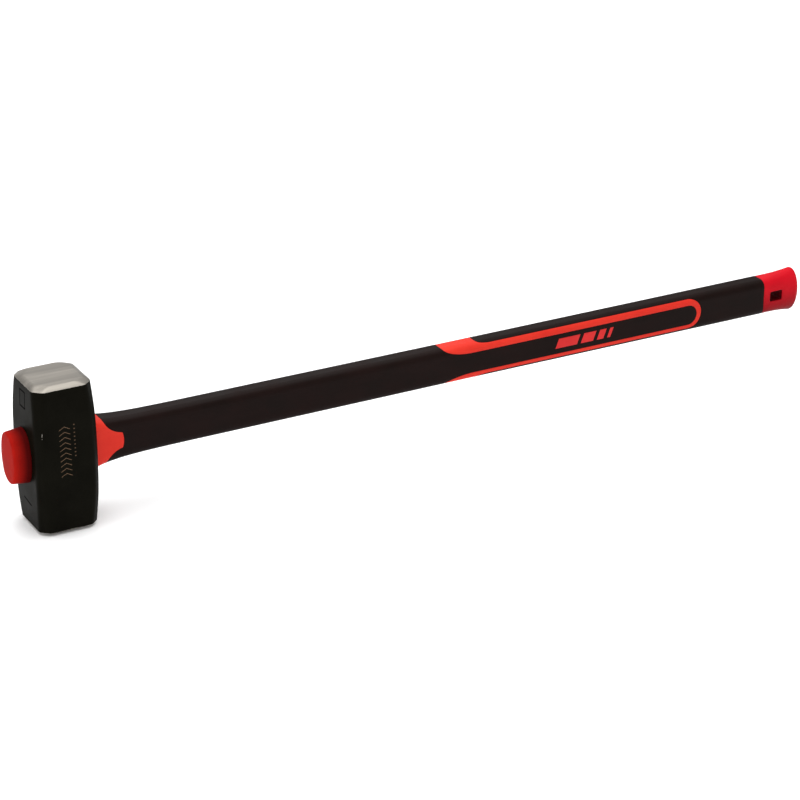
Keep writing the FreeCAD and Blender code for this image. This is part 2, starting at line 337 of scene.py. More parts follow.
def loop_edge(end_x, half, flare, rise):
    """From the crown to the bend's tip along one edge of the raised loop."""
    points = flare_points(end_x, half, flare, rise=rise)
    points = crown_points(points[0]) + points
    for step in range(1, STRAIGHT + 1):
        x = end_x + (BEND_X - end_x) * step / STRAIGHT
        points.append((x, around_at(x, half + rise)))
    for step in range(1, BEND + 1):
        angle = math.pi / 2 * (1 - step / BEND)
        x = BEND_X + half * math.cos(angle)
        points.append((x, around_at(x, half * math.sin(angle) + rise)))
    return points


# upper and lower half of each edge; the lower ones are measured downwards
INNER_UPPER, INNER_LOWER = [
    loop_edge(INNER_FLARE_X, INNER_HALF, INNER_FLARE, rise) for rise in (INNER_RISE, -INNER_RISE)
]
OUTER_UPPER, OUTER_LOWER = [
    loop_edge(OUTER_FLARE_X, OUTER_HALF, OUTER_FLARE, rise) for rise in (OUTER_RISE, -OUTER_RISE)
]
BEND_START = CROWN + FLARE + STRAIGHT


def skin(name, patches, node, lift=0.0):
    """A moulded skin over the handle, from patches of (x, around) rows, on both sides."""
    bm = bmesh.new()
    for rows in patches:
        for side in (1, -1):
            add_rows(bm, [[handle_point(x, around, side, lift) for x, around in row] for row in rows])
    weld(bm)
    piece = new_piece(name, bm, node)
    give_thickness(piece, OVERMOULD_THICKNESS)
    round_edges(piece, 0.35 * MM)
    return piece


def make_sleeve():
    """Front overmould: a tube from the collar, then a tongue down each side, with a round tip."""
    across = 2 * BEND
    tongue = []
    tip_blend = 3
    for (x, around), (low_x, low_around) in list(zip(INNER_UPPER, INNER_LOWER))[CROWN:BEND_START - tip_blend]:
        tongue.append([mix((x, around), (low_x, -low_around), step / across) for step in range(across + 1)])
    line = joined(INNER_UPPER[:CROWN] + tongue[0], INNER_LOWER[:CROWN + 1])
    tube = mix_rows(collar_edge(), line, 80, ease=1.25)
    tip = mix_rows(tongue[-1], joined(INNER_UPPER[BEND_START:], INNER_LOWER[BEND_START:]), 4)
    return skin("shaft_sleeve_skin", [tube, tongue, tip], "shaft_sleeve")


def make_grip():
    """Rear overmould: a strip above and one below the loop, and a tube behind it up to the cap."""
    # quads from the loop's edge to the top centre or the bottom centre
    rise = 8
    tongues = []
    for sign, edge in ((1, OUTER_UPPER), (-1, OUTER_LOWER)):
        rows = []
        for x, around in edge[CROWN:BEND_START + 1]:
            rows.append([(x, sign * (around + (1 - around) * step / rise)) for step in range(rise + 1)])
        tongues.append(rows)
    bend = joined(OUTER_UPPER[BEND_START:], OUTER_LOWER[BEND_START:])
    x, first = bend[0]
    last = -bend[-1][1]
    start = [(x, 1 + (first - 1) * step / rise) for step in range(rise)] + bend
    start += [(x, -1 + (1 - last) * step / rise) for step in range(rise - 1, -1, -1)]
    end = [(CAP_FRONT_X, around) for x, around in start[:rise]]
    end += [(CAP_FRONT_X, first - (first + last) * step / (2 * BEND)) for step in range(2 * BEND + 1)]
    end += [(CAP_FRONT_X, around) for x, around in start[-rise:]]
    return skin("rear_grip_skin", tongues + [mix_rows(start, end, 20)], "rear_grip")


def head_front(x_sign, z):
    """x of the head's front or back surface at height z."""
    reach = min(1.0, abs(z - AXIS_Z) / (AXIS_Z - HEAD_BEVEL_DROP))
    return x_sign * (FACE_HALF_X + HEAD_GROWTH_X * (1 - reach ** HEAD_POWER))


def make_jacket():
    """The collar behind the head, the raised loop, and the skin under the dark overmoulds."""
    edge = collar_edge()
    base = [(head_front(1, AXIS_Z) - 0.2 * MM, around) for x, around in edge]
    collar = skin("jacket_collar", [mix_rows(base, edge, 10)], "handle_jacket", -RED_SINK)
    inner = joined(INNER_UPPER, INNER_LOWER)
    outer = joined(OUTER_UPPER, OUTER_LOWER)
    loop = skin("jacket_loop", [mix_rows(inner, outer, 8)], "handle_jacket", -RED_SINK)
    bm = bmesh.new()
    rows = []
    steps, turns = 60, 40
    for step in range(steps + 1):
        x = head_front(1, AXIS_Z) + (SKIRT_X - head_front(1, AXIS_Z)) * (step / steps) ** 1.6
        ring = [handle_point(x, 1 - 2 * turn / turns, 1, -UNDER_SKIN_DEPTH) for turn in range(turns)]
        ring += [handle_point(x, -1 + 2 * turn / turns, -1, -UNDER_SKIN_DEPTH) for turn in range(turns)]
        rows.append(ring)
    add_rows(bm, rows, closed=True)
    weld(bm)
    under = new_piece("jacket_under_skin", bm, "handle_jacket")
    give_thickness(under, UNDER_SKIN_THICKNESS)
    return [collar, loop, under]


# ---- head ----

def head_ring(half_x, half_y, chamfer, z):
    """Octagon with rounded corners at height z, always with the same number of points."""
    corners = []
    for sx, sy, x_first in ((1, 1, True), (-1, 1, False), (-1, -1, True), (1, -1, False)):
        on_y = Vector((sx * (half_x - chamfer), sy * half_y, z))
        on_x = Vector((sx * half_x, sy * (half_y - chamfer), z))
        corners += [on_x, on_y] if x_first else [on_y, on_x]
    reach = HEAD_CORNER * math.tan(HALF_CORNER_TURN)
    ring = []
    for index, corner in enumerate(corners):
        back = (corners[index - 1] - corner).normalized()
        ahead = (corners[(index + 1) % 8] - corner).normalized()
        start, end = corner + back * reach, corner + ahead * reach
        centre = corner + (back + ahead).normalized() * (HEAD_CORNER / math.cos(HALF_CORNER_TURN))
        for step in range(5):
            spoke = (start - centre).lerp(end - centre, step / 4).normalized()
            ring.append(centre + spoke * HEAD_CORNER)
        along = corners[(index + 1) % 8] - ahead * reach - end
        pieces = SIDE_PIECES if index % 2 else CHAMFER_PIECES
        for step in range(1, pieces):
            ring.append(end + along * step / pieces)
    return ring


def forging_relief(place):
    """Slight unevenness of a forged and painted surface."""
    broad = noise.noise(place * 38.0)
    fine = noise.noise(place * 140.0 + Vector((3.1, 7.7, 1.3)))
    return (0.16 * broad + 0.035 * fine) * MM


def make_head():
    """Forged block: ground bevel, slightly uneven barrel sides, ground bevel, and the eye cut through."""
    bm = bmesh.new()
    bevel = []
    for inset, drop in HEAD_BEVEL:
        inset *= MM
        chamfer = FACE_CHAMFER + (FLAT_CHAMFER - FACE_CHAMFER) * min(1.0, inset / FLAT_INSET)
        size = (FACE_HALF_X - inset, FACE_HALF_Y - inset, chamfer)
        bevel.append((size, drop * MM))
    rings = [head_ring(*size, drop) for size, drop in bevel]
    # the unevenness fades out over the last rows before each bevel
    steps, fade = 64, 6
    for step in range(steps + 1):
        height = 2 * step / steps - 1
        swell = 1 - abs(height) ** HEAD_POWER
        half_x = FACE_HALF_X + HEAD_GROWTH_X * swell
        half_y = FACE_HALF_Y + HEAD_GROWTH_Y * swell
        z = AXIS_Z + height * (AXIS_Z - HEAD_BEVEL_DROP)
        ring = head_ring(half_x, half_y, FACE_CHAMFER + (WAIST_CHAMFER - FACE_CHAMFER) * swell, z)
        if 0 < step < steps:
            hold = min(1.0, min(step, steps - step) / fade)
            for place in ring:
                outward = Vector((place.x, place.y, 0)).normalized()
                place += outward * hold * min(0.0, forging_relief(place) - 0.1 * MM)
        rings.append(ring)
    rings += [head_ring(*size, HEAD_HIGH.z - drop) for size, drop in reversed(bevel)]
    lines = add_rows(bm, rings, closed=True)
    bm.faces.new(lines[0])
    bm.faces.new(lines[-1])
    head = new_piece("forged_head", bm, "hammer_head")
    cut_eye(head)
    round_edges(head, 0.7 * MM, segments=3, angle=18.0)
    return head


def oval_ring(x, size, inset=0.0, count=96):
    """Oval of four tangent arcs across the eye at x."""
    half_width, half_height = size[0] - inset, size[1] - inset
    end = OVAL_END * half_width
    squares = half_width ** 2 + half_height ** 2
    side = (squares - 2 * half_height * end) / (2 * (half_width - end))
    turn = math.atan2(side - half_width, half_height - end)
    ring = []
    for step in range(count):
        quarter, part = divmod(step, count // 4)
        part /= count // 4
        angle = math.pi / 2 * (part if quarter % 2 == 0 else 1 - part)
        if angle < turn:
            y, z = end * math.sin(angle), half_height - end + end * math.cos(angle)
        else:
            y, z = half_width - side + side * math.sin(angle), side * math.cos(angle)
        ring.append(Vector((x, y if quarter < 2 else -y, AXIS_Z + (z if quarter in (0, 3) else -z))))
    return ring


def eye_size(x):
    """Half width and half height of the eye at x, from a curve through its two mouths and its waist."""
    places = (EYE_FRONT_X, EYE_WAIST_X, EYE_REAR_X)
    sizes = (EYE_FRONT, EYE_WAIST, EYE_REAR)
    result = []
    for axis in range(2):
        total = 0.0
        for index, place in enumerate(places):
            weight = 1.0
            for other in places:
                if other != place:
                    weight *= (x - other) / (place - other)
            total += weight * sizes[index][axis]
        result.append(total)
    return tuple(result)


def cut_eye(head):
    """Cuts the eye right through the head, and keeps the result as the head's own mesh."""
    bm = bmesh.new()
    steps = 12
    xs = [EYE_FRONT_X + (EYE_REAR_X - EYE_FRONT_X) * step / steps for step in range(steps + 1)]
    lines = add_rows(bm, [oval_ring(x, eye_size(x)) for x in xs], closed=True)
    bm.faces.new(lines[0])
    bm.faces.new(lines[-1])
    bmesh.ops.recalc_face_normals(bm, faces=bm.faces)
    mesh = bpy.data.meshes.new("eye_cutter")
    bm.to_mesh(mesh)
    bm.free()
    cutter = bpy.data.objects.new("eye_cutter", mesh)
    bpy.context.scene.collection.objects.link(cutter)
    boolean = head.modifiers.new("eye", "BOOLEAN")
    boolean.object = cutter
    boolean.operation = "DIFFERENCE"
    boolean.solver = "EXACT"
    bpy.context.view_layer.update()
    depsgraph = bpy.context.evaluated_depsgraph_get()
    result = bpy.data.meshes.new_from_object(head.evaluated_get(depsgraph))
    head.modifiers.clear()
    old = head.data
    head.data = result
    bpy.data.meshes.remove(old)
    bpy.data.objects.remove(cutter)
    for polygon in head.data.polygons:
        polygon.use_smooth = True


def make_plug():
    """Red plug: a domed, round-rimmed oval outside and a tapered spigot in the eye."""
    bm = bmesh.new()
    rings = []
    for share in (0.25, 0.5, 0.72, 0.88):
        size = ((PLUG_NOSE[0] - PLUG_RIM) * share, (PLUG_NOSE[1] - PLUG_RIM) * share)
        dome = PLUG_DOME * share ** 2
        rings.append(oval_ring(PLUG_LOW.x + dome, size))
    for step in range(7):
        angle = math.pi / 2 * step / 6
        inset = PLUG_RIM * (1 - math.sin(angle))
        x = PLUG_LOW.x + PLUG_RIM_START + (PLUG_RIM - PLUG_RIM_START) * (1 - math.cos(angle))
        rings.append(oval_ring(x, PLUG_NOSE, inset))
    start = rings[-1]
    base = oval_ring(0.0, PLUG_BASE)
    for place in base:
        place.x = head_front(-1, place.z) + 0.1 * MM
    for step in range(1, 9):
        rings.append([a.lerp(b, step / 8) for a, b in zip(start, base)])
    mouth = oval_ring(0.0, eye_size(-FACE_HALF_X), BOND_THICKNESS)
    for place in mouth:
        place.x = head_front(-1, place.z) + 0.2 * MM
    rings.append(mouth)
    for step in range(1, 5):
        x = -FACE_HALF_X + (PLUG_SPLIT_X + FACE_HALF_X) * step / 4
        rings.append(oval_ring(x, eye_size(x), BOND_THICKNESS))
    lines = add_rows(bm, rings, closed=True)
    bm.faces.new(lines[0])
    bm.faces.new(lines[-1])
    plug = new_piece("eye_plug", bm, "front_plug")
    round_edges(plug, 0.4 * MM, segments=2, angle=60.0)
    return plug


# ---- end cap ----

def cap_section(x):
    """Half width, half height and squareness of the cap's section at x, up to its flare."""
    share = (x - CAP_FRONT_X) / (CAP_FLARE_X - CAP_FRONT_X)
    half_width, half_height = mix(CAP_FRONT, CAP_FLARE, share ** CAP_FLARE_POWER)
    squareness = CAP_SQUARENESS[0] + (CAP_SQUARENESS[1] - CAP_SQUARENESS[0]) * share
    return half_width, half_height, squareness


def cap_point(x, section, around, side):
    """Point on the cap's section. around runs from 1, top centre, to -1, bottom centre, down one side."""
    half_width, half_height, squareness = section
    turn = (1 - around) * math.pi / 2
    across, up = math.sin(turn), math.cos(turn)
    reach = (abs(across) ** squareness + abs(up) ** squareness) ** (-1 / squareness)
    return Vector((x, side * half_width * across * reach, AXIS_Z + half_height * up * reach))


def cap_around(section, z):
    """The place round the cap's section where its side reaches height z above the axis."""
    half_height, squareness = section[1:]
    height = min(z, 0.5 * half_height)
    turn = math.atan(((half_height / height) ** squareness - 1) ** (1 / squareness))
    return 1 - turn / (math.pi / 2)


def cap_side(x, z):
    """Half width of the cap at x and at height z."""
    half_width, half_height, squareness = cap_section(x)
    return half_width * (1 - abs(z / half_height) ** squareness) ** (1 / squareness)


def cap_profile():
    """Rows of the cap: x and its section there, from its front edge over the dome."""
    frame_start = HOLE_MIDDLE - HOLE_FRAME[0]
    xs = [CAP_FRONT_X, (CAP_FRONT_X + frame_start) / 2]
    xs += [frame_start + 2 * HOLE_FRAME[0] * step / 8 for step in range(9)]
    xs += CAP_SWELL_ROWS
    rows = [(x, cap_section(x)) for x in xs]
    dome = CAP_HIGH.x - CAP_FLARE_X
    steps = 13
    for step in range(steps):
        angle = math.pi / 2 * step / steps
        shrink = math.cos(angle) ** CAP_DOME_POWER
        section = (CAP_FLARE[0] * shrink, CAP_FLARE[1] * shrink, CAP_SQUARENESS[1])
        rows.append((CAP_FLARE_X + dome * math.sin(angle), section))
    return rows


def hole_outline():
    """Rounded rectangle of the hanging hole, 8 steps a side, from its lower front corner, as (x, z)."""
    points = []
    spans = (
        (1, 0, HOLE_HALF_LENGTH, HOLE_HALF_HEIGHT),
        (0, 1, HOLE_HALF_HEIGHT, HOLE_HALF_LENGTH),
        (-1, 0, HOLE_HALF_LENGTH, HOLE_HALF_HEIGHT),
        (0, -1, HOLE_HALF_HEIGHT, HOLE_HALF_LENGTH),
    )
    for dx, dz, along, off in spans:
        for step in range(8):
            if step < 2:
                angle = math.radians(45 * (1 - step / 2))
                a = -along + HOLE_CORNER - HOLE_CORNER * math.sin(angle)
                b = off - HOLE_CORNER + HOLE_CORNER * math.cos(angle)
            elif step <= 6:
                a = (-along + HOLE_CORNER) * (1 - (step - 2) / 2)
                b = off
            else:
                angle = math.radians(22.5)
                a = along - HOLE_CORNER + HOLE_CORNER * math.sin(angle)
                b = off - HOLE_CORNER + HOLE_CORNER * math.cos(angle)
            points.append((HOLE_MIDDLE + a * dx + b * dz, a * dz - b * dx))
    return points


def make_cap():
    """Flared cap. On each side a frame of the grid is left out, and filled with rows round the hole."""
    bm = bmesh.new()
    profile = cap_profile()
    # quads above the frame and across its height, and the rows where the frame starts and ends
    upper, middle = 12, 8
    first_frame, last_frame = 2, 10

    def row_places(section):
        edge = cap_around(section, HOLE_FRAME[1])
        places = [1 + (edge - 1) * step / upper for step in range(upper)]
        places += [edge * (1 - 2 * step / middle) for step in range(middle + 1)]
        return places + [-place for place in reversed(places[:upper])]

    def in_frame(row, column):
        return first_frame <= row < last_frame and upper <= column < upper + middle

    hole = hole_outline()
    walls = []
    for side in (1, -1):
        rows = []
        for x, section in profile:
            rows.append([cap_point(x, section, around, side) for around in row_places(section)])
        add_rows(bm, rows, skip=in_frame)
        outer = [rows[row][upper + middle] for row in range(first_frame, last_frame)]
        outer += [rows[last_frame][column] for column in range(upper + middle, upper, -1)]
        outer += [rows[row][upper] for row in range(last_frame, first_frame, -1)]
        outer += [rows[first_frame][column] for column in range(upper, upper + middle)]
        inner = [Vector((x, side * cap_side(x, z), AXIS_Z + z)) for x, z in hole]
        add_rows(bm, mix_vectors(outer, inner, 4), closed=True)
        walls.append(inner)
    add_rows(bm, mix_vectors(walls[0], walls[1], 10), closed=True)
    weld(bm)
    close_ends(bm, profile)
    cap = new_piece("hanging_cap", bm, "end_cap")
    round_edges(cap, 0.8 * MM, segments=4, angle=50.0)
    return cap


def mix_vectors(first, second, steps):
    """Rows of points that lead from one row to another."""
    return [[a.lerp(b, step / steps) for a, b in zip(first, second)] for step in range(steps + 1)]


def close_ends(bm, profile):
    """Closes the dome, and carries the front edge inwards to a skirt under the grip."""
    bmesh.ops.recalc_face_normals(bm, faces=bm.faces)
    open_edges = [edge for edge in bm.edges if edge.is_boundary]
    tip = [e for e in open_edges if e.verts[0].co.x > profile[-1][0] - 0.1 * MM]
    bmesh.ops.contextual_create(bm, geom=tip)
    front = [e for e in open_edges if e.verts[0].co.x < profile[0][0] + 0.1 * MM]
    # one step straight inwards, then along to the skirt's end
    for narrow, lower, x in ((0.86, 0.916, profile[0][0]), (1.0, 1.0, SKIRT_X)):
        grown = bmesh.ops.extrude_edge_only(bm, edges=front)["geom"]
        front = [item for item in grown if isinstance(item, bmesh.types.BMEdge)]
        for vert in [item for item in grown if isinstance(item, bmesh.types.BMVert)]:
            vert.co = Vector((x, vert.co.y * narrow, AXIS_Z + (vert.co.z - AXIS_Z) * lower))
    bmesh.ops.contextual_create(bm, geom=front)


# ---- marks ----

def make_grip_marks():
    """Plain slanted bars, let into the side tongues."""
    low, high = MARK_LOW.z - AXIS_Z, MARK_HIGH.z - AXIS_Z
    pieces = []
    for name, node, side in (("left_bars", "left_grip_mark", 1), ("right_bars", "right_grip_mark", -1)):
        bm = bmesh.new()
        x = MARK_LOW.x
        for width in MARK_BARS:
            rows = []
            for step in range(7):
                z = low + (high - low) * step / 6
                row = []
                for across in range(9):
                    place_x = x + MARK_SLANT * step / 6 + width * across / 8
                    row.append(handle_point(place_x, around_at(place_x, z), side, MARK_LIFT))
                rows.append(row)
            add_rows(bm, rows)
            x += width + MARK_GAP
        bars = new_piece(name, bm, node)
        give_thickness(bars, MARK_THICKNESS)
        round_edges(bars, 0.15 * MM, segments=2)
        pieces.append(bars)
    return pieces


# ---- materials ----

def colour(red, green, blue):
    """A colour given as it looks on a screen, from 0 to 255, in linear light."""
    linear = []
    for value in (red, green, blue):
        value /= 255
        linear.append(value / 12.92 if value <= 0.04045 else ((value + 0.055) / 1.055) ** 2.4)
    return (*linear, 1.0)


STEEL_DARK = colour(117, 113, 106)
STEEL_LIGHT = colour(143, 138, 130)
STEEL_LINE = colour(104, 100, 95)
PAINT_DARK = colour(10, 9, 5)
PAINT_LIGHT = colour(15, 14, 9)
PAINT_SHEEN = 0.018
ETCH_TAN = colour(122, 98, 78)
# dark red painted in as shade on the plug and the cap
PAINTED_SHADE_RED = colour(44, 5, 7)
SCUFF_PLACE = (-25.4 * MM, -33.2 * MM, AXIS_Z + 31.0 * MM)
ETCH_X = -3.3 * MM
ETCH_Z = AXIS_Z + 12.0 * MM
ETCH_PITCH = 5.2 * MM


class Shader:
    """Small helper that wires a Principled material by named sockets. Places are in the model's frame."""

    def __init__(self, name):
        self.material = bpy.data.materials.new(name)
        self.material.use_nodes = True
        self.tree = self.material.node_tree
        self.main = self.tree.nodes["Principled BSDF"]
        place = self.tree.nodes.new("ShaderNodeTexCoord")
        self.place = place.outputs["Object"]

    def put(self, kind, links=None, **values):
        """Adds a node with its settings, and fills the named or numbered inputs."""
        node = self.tree.nodes.new(kind)
        for key, value in values.items():
            setattr(node, key, value)
        for socket, value in (links or {}).items():
            self.fill(node.inputs[socket], value)
        return node

    def fill(self, socket, value):
        """Links another node's output to a socket, or sets its constant."""
        if isinstance(value, bpy.types.NodeSocket):
            self.tree.links.new(value, socket)
        else:
            socket.default_value = value

    def scaled(self, x, y, z):
        """The place, stretched along each axis: a smaller figure makes a longer pattern."""
        return self.put("ShaderNodeMapping", {"Vector": self.place, "Scale": (x, y, z)}).outputs["Vector"]

    def noise(self, vector, scale, detail=3.0, roughness=0.5):
        """Noise from 0 to 1 at a place."""
        links = {"Vector": vector, "Scale": scale, "Detail": detail, "Roughness": roughness}
        return self.put("ShaderNodeTexNoise", links).outputs["Fac"]

    def spread(self, value, low, high, new_low, new_high):
        """Maps the span from low to high onto another, and holds it at both ends."""
        links = {"Value": value, "From Min": low, "From Max": high, "To Min": new_low, "To Max": new_high}
        return self.put("ShaderNodeMapRange", links).outputs["Result"]

    def math(self, operation, first, second=0.0):
        """One math node on two values."""
        return self.put("ShaderNodeMath", {0: first, 1: second}, operation=operation).outputs[0]

    def mixed(self, kind, sockets, values):
        """A mix node with its share and its two inputs, by number, as the kind needs them."""
        node = self.put("ShaderNodeMix", data_type=kind)
        for place, value in zip(sockets, values):
            self.fill(node.inputs[place], value)
        return node

    def blend(self, share, first, second):
        return self.mixed("RGBA", (0, 6, 7), (share, first, second)).outputs[2]

    def blend_value(self, share, first, second):
        return self.mixed("FLOAT", (0, 2, 3), (share, first, second)).outputs[0]

    def blend_vector(self, share, first, second):
        return self.mixed("VECTOR", (0, 4, 5), (share, first, second)).outputs[1]

    def within(self, value, middle, half):
        """1 where the value is within half of the middle."""
        offset = self.math("ABSOLUTE", self.math("SUBTRACT", value, middle))
        return self.math("LESS_THAN", offset, half)

    def bump(self, height, distance, strength=1.0):
        """A normal bent by a height from 0 to 1."""
        links = {"Height": height, "Distance": distance, "Strength": strength}
        return self.put("ShaderNodeBump", links).outputs["Normal"]

    def set(self, **sockets):
        """Fills the Principled node's sockets, written with _ for a space, and gives the material."""
        for name, value in sockets.items():
            self.fill(self.main.inputs[name.replace("_", " ")], value)
        return self.material


def plug_painted_shade(s):
    """Painted shade: darker towards the head, where the plug meets the eye."""
    x = s.put("ShaderNodeSeparateXYZ", {"Vector": s.place}).outputs["X"]
    return s.spread(x, -46.0 * MM, -35.0 * MM, 0.0, 0.85)


def cap_painted_shade(s):
    """Painted shade: darker inside the hanging hole and towards the underside."""
    split = s.put("ShaderNodeSeparateXYZ", {"Vector": s.place}).outputs
    x, y, z = split["X"], split["Y"], split["Z"]
    beside = s.within(x, HOLE_MIDDLE, HOLE_HALF_LENGTH + 0.15 * MM)
    inside = s.math("MULTIPLY", beside, s.within(z, AXIS_Z, HOLE_HALF_HEIGHT + 0.1 * MM))
    # painted shade deepening into the hanging hole
    depth = s.spread(s.math("ABSOLUTE", y), 12.4 * MM, 11.4 * MM, 0.0, 0.85)
    # painted shade towards the underside
    below = s.spread(z, AXIS_Z + 8.0 * MM, AXIS_Z - 21.0 * MM, 0.0, 0.78)
    return s.math("MAXIMUM", s.math("MULTIPLY", inside, depth), below)


def plastic(name, base, deep, roughness, grain=0.012 * MM, grain_scale=1500.0, *, specular, painted_shade=None):
    """Moulded plastic: fine spark-eroded grain, faint flow marks, and slightly uneven gloss.

    The optional shade function gives the share of painted shade, a dark red, at each place.
    """
    s = Shader(name)
    flow = s.noise(s.scaled(14.0, 60.0, 60.0), 1.0, 4.0, 0.55)
    cloud = s.noise(s.place, 45.0, 3.0)
    tone = s.spread(s.math("ADD", flow, cloud), 0.75, 1.25, 0.0, 1.0)
    fine = s.noise(s.place, grain_scale, 2.0, 0.6)
    scuff = s.noise(s.scaled(60.0, 500.0, 500.0), 1.0, 5.0, 0.7)
    rough = s.math("ADD", s.spread(cloud, 0.3, 0.7, roughness - 0.04, roughness + 0.05),
                   s.spread(scuff, 0.62, 0.75, 0.0, 0.08))
    tone = s.blend(tone, deep, base)
    # painted shade: the colour darkens towards a dark red where the shade function asks
    if painted_shade:
        tone = s.blend(painted_shade(s), tone, PAINTED_SHADE_RED)
    return s.set(
        Base_Color=tone,
        Roughness=rough,
        Specular_IOR_Level=specular,
        Normal=s.bump(fine, grain, 0.5),
    )


def etched_mark(s, x, z):
    """A column of thin chevrons with a row of short ticks beside it, on the -Y cheek."""
    along = s.math("SUBTRACT", x, ETCH_X)
    up = s.math("SUBTRACT", z, ETCH_Z)
    wave = s.math("ADD", up, s.math("MULTIPLY", s.math("ABSOLUTE", along), 0.55))
    place = s.math("FRACT", s.math("DIVIDE", wave, ETCH_PITCH))
    chevron = s.math("LESS_THAN", s.math("ABSOLUTE", s.math("SUBTRACT", place, 0.5)), 0.05)
    column = s.within(along, 0.0, 5.4 * MM)
    ticks = s.math("LESS_THAN", s.math("FRACT", s.math("DIVIDE", up, ETCH_PITCH * 0.75)), 0.28)
    row = s.within(along, 9.6 * MM, 0.7 * MM)
    tick_row = s.math("MULTIPLY", s.math("MULTIPLY", ticks, row), s.within(up, 8.0 * MM, 17.0 * MM))
    column = s.math("MULTIPLY", s.math("MULTIPLY", chevron, column), s.within(wave, 0.0, ETCH_PITCH * 5))
    return s.math("MAXIMUM", column, s.math("MULTIPLY", tick_row, 0.5))


def stamped_mark(s, y, z):
    """A plain rounded frame near the top and a short stroke near the bottom, on the -X side."""
    up = s.math("SUBTRACT", z, AXIS_Z + 56.5 * MM)
    frame_y = s.math("SUBTRACT", s.math("ABSOLUTE", y), 6.0 * MM)
    frame_z = s.math("SUBTRACT", s.math("ABSOLUTE", up), 8.0 * MM)
    outline = s.within(s.math("MAXIMUM", frame_y, frame_z), 0.0, 0.7 * MM)
    low = s.math("ADD", s.math("SUBTRACT", z, AXIS_Z - 48.0 * MM), s.math("MULTIPLY", y, -0.12))
    stroke = s.math("MULTIPLY", s.within(low, 0.0, 0.8 * MM), s.within(y, 0.0, 9.0 * MM))
    return s.math("MAXIMUM", outline, stroke)


def head_material():
    """Black paint on the forged sides, bare ground steel on the bevels and striking faces."""
    s = Shader("painted_forging")
    split = s.put("ShaderNodeSeparateXYZ", {"Vector": s.place}).outputs
    x, y, z = split["X"], split["Y"], split["Z"]
    from_middle = s.math("ABSOLUTE", s.math("SUBTRACT", z, AXIS_Z))
    wander = s.noise(s.place, 120.0, 3.0, 0.6)
    ragged = s.noise(s.place, 700.0, 3.0, 0.6)
    edge = s.math("ADD", from_middle, s.spread(wander, 0.3, 0.7, -0.25 * MM, 0.25 * MM))
    edge = s.math("ADD", edge, s.spread(ragged, 0.45, 0.8, 0.0, 0.5 * MM))
    border = AXIS_Z - HEAD_BEVEL_DROP - 0.1 * MM
    ground = s.spread(edge, border - 0.05 * MM, border + 0.05 * MM, 0.0, 1.0)
    spot = s.put("ShaderNodeVectorMath", {0: s.place, 1: SCUFF_PLACE}, operation="SUBTRACT").outputs[0]
    spot = s.put("ShaderNodeVectorMath", {0: spot, 1: (1.0, 1.0, 0.22)}, operation="MULTIPLY").outputs[0]
    spot = s.put("ShaderNodeVectorMath", {0: spot}, operation="LENGTH").outputs["Value"]
    spot = s.math("ADD", spot, s.spread(ragged, 0.3, 0.7, -0.5 * MM, 0.5 * MM))
    bare = s.math("MAXIMUM", ground, s.math("MULTIPLY", s.math("LESS_THAN", spot, 0.8 * MM), 0.6))

    streak = s.noise(s.scaled(16.0, 1300.0, 1300.0), 1.0, 5.0, 0.7)
    broad = s.noise(s.scaled(9.0, 110.0, 110.0), 1.0, 2.0, 0.5)
    steel = s.blend(s.spread(broad, 0.35, 0.65, 0.0, 1.0), STEEL_DARK, STEEL_LIGHT)
    steel = s.blend(s.spread(streak, 0.45, 0.75, 0.0, 0.35), steel, STEEL_LINE)
    steel_rough = s.spread(streak, 0.3, 0.7, 0.38, 0.48)
    steel_rough = s.math("ADD", steel_rough, s.spread(broad, 0.3, 0.7, -0.03, 0.03))

    cloud = s.noise(s.place, 30.0, 4.0, 0.6)
    paint = s.blend(s.spread(cloud, 0.35, 0.65, 0.0, 1.0), PAINT_DARK, PAINT_LIGHT)
    on_cheek = s.math("LESS_THAN", y, -FACE_HALF_Y / 2)
    etched = s.math("MULTIPLY", etched_mark(s, x, z), on_cheek)
    paint = s.blend(s.math("MULTIPLY", etched, 0.8), paint, ETCH_TAN)
    on_front = s.math("LESS_THAN", x, -FACE_HALF_X + 3 * MM)
    stamped = s.math("MULTIPLY", stamped_mark(s, y, z), on_front)
    paint = s.blend(s.math("MULTIPLY", stamped, 0.85), paint, (0.0, 0.0, 0.0, 1.0))
    peel = s.noise(s.place, 650.0, 2.0, 0.4)
    paint_rough = s.blend_value(stamped, s.spread(cloud, 0.3, 0.7, 0.4, 0.5), 1.0)

    grooves = s.bump(streak, 0.03 * MM, 0.6)
    relief = s.math("SUBTRACT", s.math("MULTIPLY", peel, 0.1), stamped)
    skin_bump = s.bump(relief, 0.6 * MM, 1.0)
    return s.set(
        Base_Color=s.blend(bare, paint, steel),
        Metallic=bare,
        Roughness=s.blend_value(bare, paint_rough, steel_rough),
        Specular_IOR_Level=PAINT_SHEEN,
        Normal=s.blend_vector(bare, skin_bump, grooves),
    )


def core_material():
    """Pultruded glass fibre: pale resin with fibres along the rod."""
    s = Shader("glass_fibre")
    fibre = s.noise(s.scaled(8.0, 2200.0, 2200.0), 1.0, 4.0, 0.6)
    tone = s.blend(s.spread(fibre, 0.35, 0.65, 0.0, 1.0), colour(196, 186, 140), colour(232, 226, 196))
    return s.set(Base_Color=tone, Roughness=0.4, Normal=s.bump(fibre, 0.04 * MM, 0.5))


def resin_material():
    """Clear amber bonding resin."""
    s = Shader("resin")
    cloud = s.noise(s.place, 180.0, 3.0)
    tone = s.blend(s.spread(cloud, 0.35, 0.65, 0.0, 1.0), colour(168, 128, 62), colour(198, 160, 92))
    return s.set(Base_Color=tone, Roughness=0.3)


def floor_material():
    """Matt, almost white paper."""
    s = Shader("pale_floor")
    cloud = s.noise(s.place, 3.0, 2.0)
    tone = s.blend(cloud, colour(250, 250, 250), colour(253, 253, 253))
    return s.set(Base_Color=tone, Roughness=0.9, Specular_IOR_Level=0.1)


def paint(piece, material):
    """Gives a piece its one material."""
    piece.data.materials.clear()
    piece.data.materials.append(material)


# ---- surroundings ----

